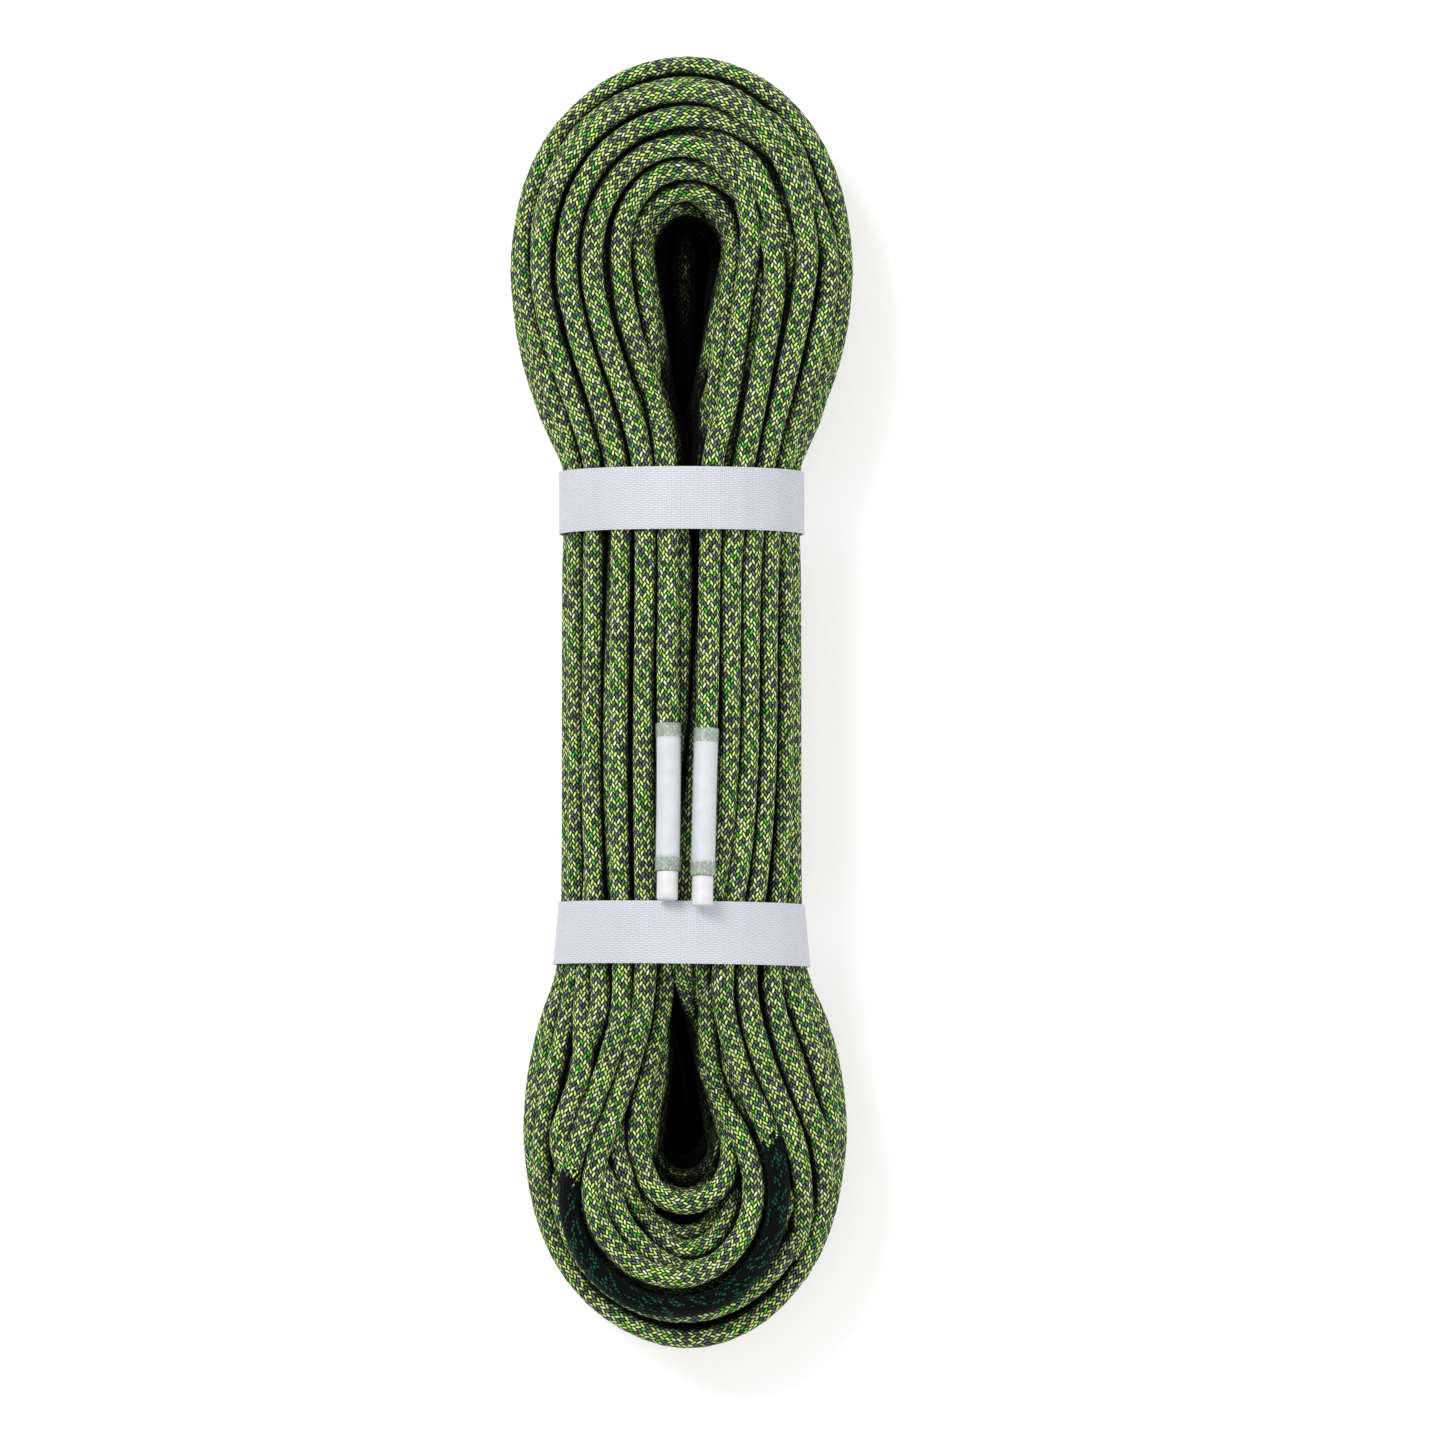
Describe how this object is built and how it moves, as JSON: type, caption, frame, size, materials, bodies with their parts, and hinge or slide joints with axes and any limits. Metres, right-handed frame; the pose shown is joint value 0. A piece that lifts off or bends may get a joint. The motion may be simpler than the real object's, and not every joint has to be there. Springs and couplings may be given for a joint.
{
  "type": "climbing cord hank",
  "caption": "Hank of thin kernmantle climbing cord in racetrack turns, bound at the waist by two woven bands, with both labelled, sealed ends lying on its front.",
  "frame": {"origin": "under the middle of the hank, on the surface that it lies on", "axes": "+Y along the hank towards the loop above the upper band, +Z out of the front, where the cord ends lie, +X to the right seen from the front"},
  "size_m": [0.076, 0.2898, 0.0603],
  "materials": {
    "braided_cord": "lime yellow, green and slate grey braid",
    "woven_ribbon": "satin woven ribbon, pale lavender white",
    "core_yarn": "twisted white yarn",
    "label_paper": "matt white",
    "clear_sleeve": "clear shrunk film",
    "sealed_tip": "smooth white melt"
  },
  "bodies": {
    "hank": {"hank": "braided_cord", "lower_band": "woven_ribbon", "left_end_sheath": "braided_cord", "left_end_label": "label_paper", "left_end_sleeve": "clear_sleeve", "left_end_tip": "sealed_tip", "right_end_sheath": "braided_cord", "right_end_label": "label_paper", "right_end_sleeve": "clear_sleeve", "right_end_tip": "sealed_tip", "left_core_strand_1": "core_yarn", "left_core_strand_2": "core_yarn", "left_core_strand_3": "core_yarn", "left_core_strand_4": "core_yarn", "left_core_strand_5": "core_yarn", "left_core_strand_6": "core_yarn", "left_core_strand_7": "core_yarn", "right_core_strand_1": "core_yarn", "right_core_strand_2": "core_yarn", "right_core_strand_3": "core_yarn", "right_core_strand_4": "core_yarn", "right_core_strand_5": "core_yarn", "right_core_strand_6": "core_yarn", "right_core_strand_7": "core_yarn"},
    "upper_band": {"upper_band": "woven_ribbon"}
  },
  "joints": [
    {"name": "upper_band_slide", "type": "slide", "parent": "hank", "child": "upper_band", "axis": [0, -1, 0], "range_m": [0, 0.015]}
  ]
}
